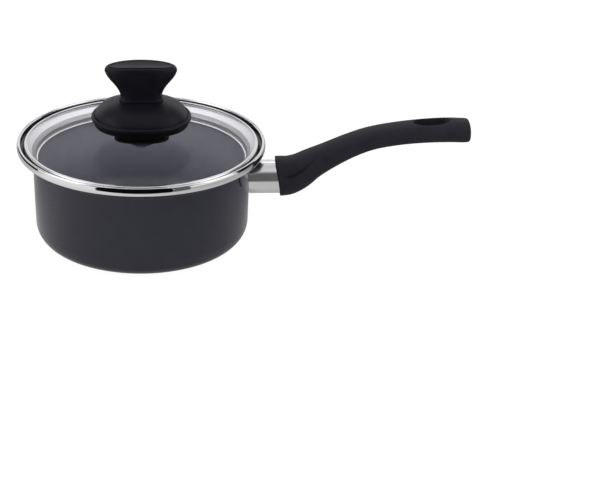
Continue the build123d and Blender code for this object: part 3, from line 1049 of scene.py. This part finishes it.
# ---------------------------------------- knob
@dataclass
class Knob:
    """The oval grip, the domed steam flange, the pedestal and its gasket.

    The flare's rows are a share of its height and the ways from neck to crown in width and
    in depth; the dome's are a share of its height and the way from lip to foot. The other
    tables are ways in and up.
    """

    sides: int = 192
    neck: Oval = Oval(15.5, 9.4, 0.0, 3.6)
    crown: Oval = Oval(26.9, 12.0, 0.0, 2.3)
    crown_arch: float = 1.4
    flare_height: float = 27.7
    flare_steps: int = 30
    flare: Table = ((0.00, 0.06, 0.19), (0.12, 0.00, 0.00), (0.24, 0.06, 0.00),
                    (0.36, 0.21, 0.08), (0.48, 0.43, 0.23), (0.60, 0.68, 0.46),
                    (0.72, 0.88, 0.73), (0.85, 1.00, 1.00))
    collar: Table = ((0.0, 0.0), (-0.4, 0.15), (-0.4, 0.8), (-0.28, 1.28), (0.0, 1.6))
    ridge_inset: float = 2.6
    ridge_height: float = 0.5
    cap: Table = ((2.70, -0.45), (3.05, -0.45), (3.15, 0.35), (3.35, 0.50), (3.65, 0.45),
                  (4.20, 0.10))
    dish_depth: float = 1.1
    dish_steps: int = 8
    crown_turn: float = 86.0
    crown_steps: int = 10
    flange_squareness: float = 2.2
    lip_height: float = 2.6
    lip: Table = ((2.20, -0.22), (2.05, -0.20), (1.90, 0.04), (1.70, 0.16), (1.40, 0.10),
                  (0.90, -0.16), (0.46, -0.50), (0.16, -0.96), (0.02, -1.42),
                  (0.00, -1.80), (0.10, -2.16), (0.40, -2.44), (0.90, -2.56))
    skirt_height: float = 4.4
    skirt_inset: float = 2.1
    skirt_top: float = 5.0
    skirt: Table = ((2.2, 0.5), (2.6, 0.0), (4.2, 0.0), (4.5, 0.3))
    crease: float = 2.3
    wall: float = 2.6
    dome_height: float = 12.4
    dome_steps: int = 24
    dome: Table = ((0.0, 0.0), (0.12, 0.035), (0.43, 0.23), (0.74, 0.56), (1.0, 1.0))
    ceiling: float = 0.74
    flange_crisp_from: float = 32.0
    matte_shaded_above_skirt: float = 0.1
    base_squareness: float = 2.6
    base_draft: float = 0.9
    base_round: float = 1.2
    pad_below: float = 0.2
    pad_edge: float = 0.25

    def build(self) -> None:
        """Builds the knob's pieces."""
        self.build_base()
        self.build_gasket()
        self.build_flange()
        self.build_grip()

    def build_base(self) -> None:
        """Moulds the pedestal that holds the flange clear of the glass."""
        low, high = box_mm("knob_base")
        turn = self.base_round
        widest = Oval(high.x, high.y, low.z, self.base_squareness)
        rings = [widest.inset(turn - out, low.z + turn + up)
                 for out, up in arc((0.0, 0.0), turn, -90.0, 0.0)]
        rings.append(widest.inset(self.base_draft, high.z))
        base = lofted("knob_pedestal", rings, self.sides)
        wear(base, PHENOLIC_MATTE_SHADED)
        fit_in(base, "lid", "knob_base")

    def build_gasket(self) -> None:
        """Cuts the silicone pad under the pedestal."""
        low, high = box_mm("knob_gasket")
        foot = Oval(high.x, high.y, low.z + self.pad_below, self.base_squareness)
        rings = [foot, foot.inset(0.0, high.z - self.pad_edge),
                 foot.inset(self.pad_edge, high.z)]
        gasket = lofted("knob_gasket_pad", rings, self.sides)
        wear(gasket, SILICONE)
        fit_in(gasket, "lid", "knob_gasket")

    def build_flange(self) -> None:
        """Moulds the flange: dome, rounded lip, recessed skirt and hollow underside."""
        low, high = box_mm("knob_flange")
        lip_bottom = low.z + self.skirt_height
        lip_top = lip_bottom + self.lip_height
        foot = self.neck.toward(self.crown, *self.flare[0][1:], 0.0)
        widest = Oval(high.x, high.y, 0.0, self.flange_squareness)
        dome_foot = widest.inset(self.crease, lip_top)

        def dome_ring(share: float) -> Oval:
            """Section of the dome at a share of its height."""
            way = smooth_value(self.dome, 1, share)
            return dome_foot.toward(foot, way, way, lip_top + share * self.dome_height)

        rings = [dome_ring(1.0 - step / self.dome_steps) for step in range(self.dome_steps)]
        rings += [widest.inset(inset, lip_top + up) for inset, up in self.lip]
        rings.append(widest.inset(self.skirt_inset, low.z + self.skirt_top))
        rings += [widest.inset(inset, low.z + up) for inset, up in self.skirt]
        rings.append(widest.inset(self.crease + self.wall, lip_top - self.wall / 2))
        roof = dome_ring(self.ceiling)
        base_high = box_mm("knob_base")[1]
        column = Oval(base_high.x - self.base_draft, base_high.y - self.base_draft, low.z,
                      self.base_squareness)
        rings += [roof.inset(self.wall, roof.height - self.wall),
                  column.inset(0.0, roof.height - self.wall), column]
        flange = lofted("knob_flange_domed", rings, self.sides, angle=self.flange_crisp_from)
        wear(flange, PHENOLIC, PHENOLIC_MATTE_SHADED)
        # Painted shade: the faces under the lip wear the rougher, darker phenolic.
        for face in flange.data.polygons:
            if face.center.z < (lip_bottom + self.matte_shaded_above_skirt) * MM:
                face.material_index = 1
        fit_in(flange, "lid", "knob_flange")

    def build_grip(self) -> None:
        """Moulds the grip: collar, waist, flare, rounded crown and its dished cap."""
        high = box_mm("knob_grip")[1]
        foot_z = high.z - self.flare_height
        foot = self.neck.toward(self.crown, *self.flare[0][1:], foot_z)
        rings = [foot.inset(inset, foot_z + up) for inset, up in self.collar]
        first, last = self.collar[-1][1] / self.flare_height, self.flare[-1][0]
        for step in range(1, self.flare_steps + 1):
            share = between(first, last, step / self.flare_steps)
            wide, deep = (smooth_value(self.flare, column, share) for column in (1, 2))
            rings.append(self.neck.toward(self.crown, wide, deep,
                                          foot_z + share * self.flare_height,
                                          self.crown_arch * share ** 3))
        crown = replace(rings[-1], arch=self.crown_arch)
        top, edge = high.z - self.ridge_height, self.ridge_inset
        rings += [crown.inset(edge - out, crown.height + up) for out, up in
                  arc((0.0, 0.0), (edge, top - crown.height), 0.0, self.crown_turn,
                      self.crown_steps)[1:]]
        rings += [crown.inset(inset, top + up) for inset, up in self.cap]
        dish = rings[-1]
        for step in range(1, self.dish_steps):
            inner = 1.0 - step / self.dish_steps
            rings.append(Oval(dish.half_width * inner, dish.half_depth * inner,
                              dish.height - self.dish_depth * (1 - inner ** 2),
                              dish.squareness, dish.arch * inner ** 2))
        grip = lofted("knob_grip_flared", rings, self.sides)
        wear(grip, PHENOLIC)
        fit_in(grip, "lid", "knob_grip")


# ---------------------------------------- handle
@dataclass
class Handle:
    """The bright ferrule and the moulded grip with its hanging slot.

    The profile's rows are a share of the length and of the rise, and the ways from front
    to back in width and in thickness; the fold's are a share of the length, a turn in
    degrees and a depth; the slot's are a height, a growth and how far its ends are oval.
    """

    sides: int = 192
    slot_sides: int = 96
    bore_sides: int = 64
    ferrule_wall: float = 1.0
    ferrule_edge: float = 0.25
    ferrule_straight: float = 12.0
    socket_gap: float = 0.2
    grip_overlap: float = 4.6
    length: float = 147.0
    rise: float = 37.3
    lift: float = 0.4
    front_radius: float = 15.1
    front_tilt: float = 8.0
    front_round: float = 0.8
    squareness: float = 2.25
    back_half_width: float = 13.6
    back_half_thickness: float = 8.2
    profile: Table = ((0.000, 0.000, 0.00, 0.00), (0.055, 0.018, 0.00, 0.07),
                      (0.112, 0.108, 0.20, 0.29), (0.175, 0.268, 0.65, 0.58),
                      (0.260, 0.448, 1.20, 0.82), (0.370, 0.662, 1.55, 0.97),
                      (0.480, 0.822, 1.60, 1.04), (0.620, 0.927, 1.40, 1.06),
                      (0.760, 0.982, 1.06, 1.04), (0.885, 1.000, 1.00, 1.00),
                      (0.960, 0.992, 1.25, 0.99))
    stations: int = 84
    slope_reach: float = 0.01
    crown_length: float = 4.78
    tip_round: float = 1.9
    tip_draft: float = 0.3
    tip_flatness: float = 0.7
    tip_turn: float = 84.0
    tip_steps: int = 8
    crisp_from: float = 35.0
    slot_length: float = 26.5
    slot_width: float = 13.0
    slot_from_tip: float = 29.5
    slot: Table = ((-12.2, 2.0, 0.0), (-7.8, 1.2, 0.0), (-6.6, 0.0, 0.0), (5.2, 0.0, 0.0),
                   (6.6, 0.5, 0.6), (7.6, 1.2, 1.0), (12.2, 2.8, 1.0))
    counterbore_radius: float = 4.9
    counterbore_from_front: float = 12.6
    fold: Table = ((0.000, 14.0, 0.40), (0.030, 14.5, 1.30), (0.075, 15.5, 1.70),
                   (0.136, 19.0, 1.60), (0.180, 27.0, 1.20), (0.240, 42.0, 0.00))
    fold_width: float = 4.5

    def build(self) -> None:
        """Builds the handle's pieces and dresses the small ones from the frame."""
        self.build_ferrule()
        self.build_grip()
        for name, finish in (("handle_bracket", STAMPED), ("handle_screw", SCREW_STEEL),
                             ("handle_washer", SCREW_STEEL)):
            dress_node(name, finish)

    def build_ferrule(self) -> None:
        """Draws the sleeve from the pan's wall to inside the grip."""
        low, high = box_mm("handle_ferrule")
        radius, height = high.y, (low.z + high.z) / 2
        inner, edge = radius - self.ferrule_wall, self.ferrule_edge
        rings = [WallSaddle(tube, height, math.hypot(low.x, radius))
                 for tube in (inner, radius)]
        rings += [Upright(x, height, 0.0, tube, tube) for x, tube in (
            (high.x - self.ferrule_straight, radius), (high.x - edge, radius),
            (high.x, radius - edge), (high.x, inner))]
        ferrule = lofted("ferrule_sleeve", rings, self.sides, Ends.JOINED)
        wear(ferrule, BRIGHT_ALONG)
        fit_in(ferrule, "pan", "handle_ferrule")

    def middle(self, share: float, start: Vector) -> Point:
        """X and height of the grip's middle line at a share of its length."""
        return (start.x + share * self.length,
                start.z + smooth_value(self.profile, 1, share) * self.rise)

    def section(self, share: float, start: Vector) -> Upright:
        """Section of the grip.

        Args:
            share: Share of the grip's length.
            start: Middle of the grip's front.

        Returns:
            The section, with its share of the fold on each side.
        """
        x, height = self.middle(share, start)
        before = self.middle(max(share - self.slope_reach, 0.0), start)
        after = self.middle(min(share + self.slope_reach, self.profile[-1][0]), start)
        slope = math.atan2(after[1] - before[1], after[0] - before[0])
        eased = min(share / self.profile[1][0], 1.0)
        turn, depth = 0.0, 0.0
        if share < self.fold[-1][0]:
            turn = math.radians(smooth_value(self.fold, 1, share))
            depth = max(smooth_value(self.fold, 2, share), 0.0)
        return Upright(
            x, height,
            between(math.radians(self.front_tilt), slope, eased) if eased < 1.0 else slope,
            between(self.front_radius, self.back_half_width,
                    smooth_value(self.profile, 2, share)),
            between(self.front_radius, self.back_half_thickness,
                    smooth_value(self.profile, 3, share)),
            self.squareness, (turn, depth, math.radians(self.fold_width)))

    def build_grip(self) -> None:
        """Moulds the grip, with its socket, then cuts the slot and the counterbore."""
        ferrule_low, ferrule_high = box_mm("handle_ferrule")
        centre_z = (ferrule_low.z + ferrule_high.z) / 2
        start = Vector((ferrule_high.x - self.grip_overlap, 0.0, centre_z + self.lift))
        tilt = math.radians(self.front_tilt)
        socket = ferrule_high.y + self.socket_gap
        edge = self.front_round
        rings = [Upright(ferrule_high.x + self.socket_gap, centre_z, 0.0, socket, socket),
                 Upright(start.x + self.socket_gap, centre_z, tilt, socket, socket)]
        for out, back in arc((0.0, 0.0), edge, 90.0, 0.0):
            radius = self.front_radius - edge + out
            rings.append(Upright(start.x + edge - back, start.z, tilt, radius, radius,
                                 self.squareness))
        rings += [self.section(between(edge / self.length, self.profile[-1][0],
                                       step / self.stations), start)
                  for step in range(1, self.stations + 1)]
        end = rings[-1]
        turn, draft = self.tip_round, self.tip_draft
        straight = self.crown_length - turn
        tip = [(draft / 3, straight / 2), (draft, straight)]
        round_off = arc((0.0, 0.0), turn, 0.0, self.tip_turn, self.tip_steps)[1:]
        tip += [(draft + turn - out, straight + ahead) for out, ahead in round_off]
        for shrink, ahead in tip:
            rings.append(Upright(end.x + ahead, end.height,
                                 end.slope * (1.0 - ahead / self.crown_length),
                                 end.half_width - shrink,
                                 end.half_thickness - shrink * self.tip_flatness,
                                 self.squareness))
        grip = lofted("handle_grip_moulded", rings, self.sides, angle=self.crisp_from)
        cut(grip, self.slot_tool(end.x + self.crown_length, end.height), self.crisp_from)
        cut(grip, self.counterbore_tool(start), self.crisp_from)
        wear(grip, PHENOLIC_HANDLE)
        fit_in(grip, "pan", "handle_grip")

    def slot_tool(self, tip: float, height: float) -> Piece:
        """Cutter for the hanging slot, flared where it leaves the grip's faces.

        Args:
            tip: X of the grip's end.
            height: Height of the grip's middle there.

        Returns:
            The cutter.
        """
        rings = [Stadium(tip - self.slot_from_tip, height + up, self.slot_length / 2,
                         self.slot_width / 2, out, lens) for up, out, lens in self.slot]
        return lofted("slot_cutter", rings, self.slot_sides, angle=self.crisp_from)

    def counterbore_tool(self, start: Vector) -> Piece:
        """Cutter for the screw's counterbore in the underside of the grip."""
        seat = box_mm("handle_washer")[1].z
        rings = turned([(self.counterbore_radius, height) for height in (0.0, seat)],
                       (start.x + self.counterbore_from_front, 0.0))
        return lofted("counterbore_cutter", rings, self.bore_sides, angle=self.crisp_from)


# ---------------------------------------- studio
@dataclass
class Studio:
    """Pale floor, soft light and the camera. Its places are in metres.

    The lamps' rows are a name, a place, a size and a power; the flags' are a name, the two
    ends of the foot, a height and a felt.
    """

    floor_size: Point = (12.0, 12.0)
    glass_low: float = -0.25
    glass_high: float = 0.45
    glass_top: float = 0.9
    room: tuple[tuple[float, str], ...] = (
        (0.00, "#ffffff"), (0.34, "#f8f8f9"), (0.43, "#dadadc"), (0.50, "#a6a6a9"),
        (0.60, "#616164"), (0.75, "#9f9fa2"), (0.88, "#f0f0f2"), (1.00, "#d8d8da"))
    lamps: tuple[tuple[str, Sequence[float], Point, float], ...] = (
        ("soft_box_left", (-1.5, -0.2, 1.3), (1.2, 0.9), 8.0),
        ("soft_box_right", (1.5, -0.2, 1.3), (1.2, 0.9), 6.0),
        ("soft_box_back", (0.0, 1.6, 1.5), (1.6, 0.6), 5.0))
    lit_point: tuple[float, float, float] = (0.0, 0.0, 0.08)
    flags: tuple[tuple[str, Point, Point, float, Felt], ...] = (
        ("black_flag_front", (-0.155, -0.225), (0.092, -0.225), 0.50, FELT),
        ("grey_flag_low", (0.093, -0.225), (0.165, -0.225), 0.25, FELT_GREY),
        ("black_flag_right", (0.64, -0.02), (0.58, 0.27), 0.42, FELT),
        ("black_flag_left", (-0.48, 0.05), (-0.31, 0.37), 0.18, FELT))
    lens: float = 106.8
    near: float = 0.01
    distance: float = 1.3832
    elevation: float = 25.393
    yaw: float = 5.609
    pitch: float = 0.521
    roll: float = 1.833

    def build(self) -> None:
        """Builds the studio."""
        self.build_camera()
        floor = self.sheet("studio_floor", (0.0, 0.0, 0.0), self.floor_size, None)
        floor.data.materials.append(BOARD.make())
        self.build_world()
        for lamp in self.lamps:
            self.hang_lamp(*lamp)
        for flag in self.flags:
            self.stand_flag(*flag)
        bpy.context.scene.view_settings.view_transform = "Standard"

    def hang(self, name: str, data: bpy.types.ID, place: Vector,
             turn: Quaternion) -> Piece:
        """Puts a camera or lamp at a place with a turn, and returns its object."""
        made = bpy.data.objects.new(name, data)
        bpy.context.scene.collection.objects.link(made)
        made.location = place
        made.rotation_mode = "QUATERNION"
        made.rotation_quaternion = turn
        return made

    def build_camera(self) -> None:
        """Sets the camera at the height and distance of a product shot."""
        data = bpy.data.cameras.new("camera")
        data.lens = self.lens
        data.clip_start = self.near
        tilt = math.radians(self.elevation)
        down = -math.radians(self.elevation + self.pitch)
        yaw = math.radians(self.yaw)
        ahead = Vector((math.sin(yaw) * math.cos(down), math.cos(yaw) * math.cos(down),
                        math.sin(down)))
        level = ahead.to_track_quat("-Z", "Y")
        rolled = Matrix.Rotation(-math.radians(self.roll), 3, ahead).to_quaternion() @ level
        place = self.distance * Vector((0.0, -math.cos(tilt), math.sin(tilt)))
        bpy.context.scene.camera = self.hang("camera", data, place, rolled)

    def hang_lamp(self, name: str, place: Sequence[float], size: Point,
                  power: float) -> None:
        """Hangs one rectangular soft box that points at the pan."""
        data = bpy.data.lights.new(name, "AREA")
        data.shape = "RECTANGLE"
        data.size, data.size_y = size
        data.energy = power
        aim = Vector(self.lit_point) - Vector(place)
        self.hang(name, data, Vector(place), aim.to_track_quat("-Z", "Y"))

    def build_world(self) -> None:
        """Fills the room: bright near the floor and falling off towards the ceiling.

        The camera sees it white, and so does the glass, but there it grows with height.
        """
        world = bpy.data.worlds.new("studio_room")
        bpy.context.scene.world = world
        tree = empty_tree(world)
        way = add_node(tree, "TexCoord").outputs["Generated"]
        axes = add_node(tree, "SeparateXYZ", {"Vector": way})
        room = add_node(tree, "ValToRGB", {"stops": self.room, "Fac": axes.outputs["Z"]})
        ray = add_node(tree, "LightPath")
        seen = seen_plainly(tree, ray)
        extra = add_node(tree, "MapRange", {
            "From Max": self.glass_top, "To Min": self.glass_low, "To Max": self.glass_high,
            "Value": axes.outputs["Z"]})
        level = add_node(tree, "Math", {
            "operation": "MULTIPLY_ADD", 0: ray.outputs["Is Transmission Ray"], 1: extra,
            2: 1.0})
        plain = add_node(tree, "Background", {"Color": linear("#ffffff"), "Strength": level})
        lit = add_node(tree, "Background", {"Color": room, "Strength": 1.0})
        mixed = add_node(tree, "MixShader", {0: seen, 1: lit, 2: plain})
        add_node(tree, "OutputWorld", {"Surface": mixed})

    def sheet(self, name: str, place: Sequence[float], size: Point,
              facing: Vector | None) -> Piece:
        """Adds a flat sheet of the studio.

        Args:
            name: The sheet's name.
            place: Its middle.
            size: Its width and height.
            facing: Which way an upright sheet looks, or None for a level one.

        Returns:
            The sheet, marked as stage.
        """
        deselect_all()
        bpy.ops.mesh.primitive_plane_add(size=1.0)
        sheet = bpy.context.active_object
        sheet.name = name
        spread = Matrix.Diagonal((size[0], size[1], 1.0, 1.0))
        if facing is not None:
            spread = facing.to_track_quat("Z", "Y").to_matrix().to_4x4() @ spread
        sheet.data.transform(Matrix.Translation(place) @ spread)
        return sheet

    def stand_flag(self, name: str, start: Point, end: Point, height: float,
                   felt: Felt) -> None:
        """Stands a flag on the floor between two points, so that only mirrors show it."""
        run = Vector(end) - Vector(start)
        middle = (Vector(end) + Vector(start)) / 2
        facing = Vector((-run.y, run.x, 0.0)).normalized()
        if facing.xy.dot(middle) > 0:
            facing.negate()
        flag = self.sheet(name, (middle.x, middle.y, height / 2), (run.length, height), facing)
        flag.data.materials.append(felt.make())
        for sees in ("camera", "diffuse", "transmission", "shadow"):
            setattr(flag, "visible_" + sees, False)


def main() -> None:
    """Builds the pan, the lid, the knob, the handle and the studio."""
    logging.basicConfig(level=logging.INFO, format="%(name)s: %(message)s")
    for part in (Pan(), Handle(), Lid(), Knob(), Studio()):
        LOG.info("building %s", type(part).__name__)
        part.build()


if __name__ == "__main__":
    main()
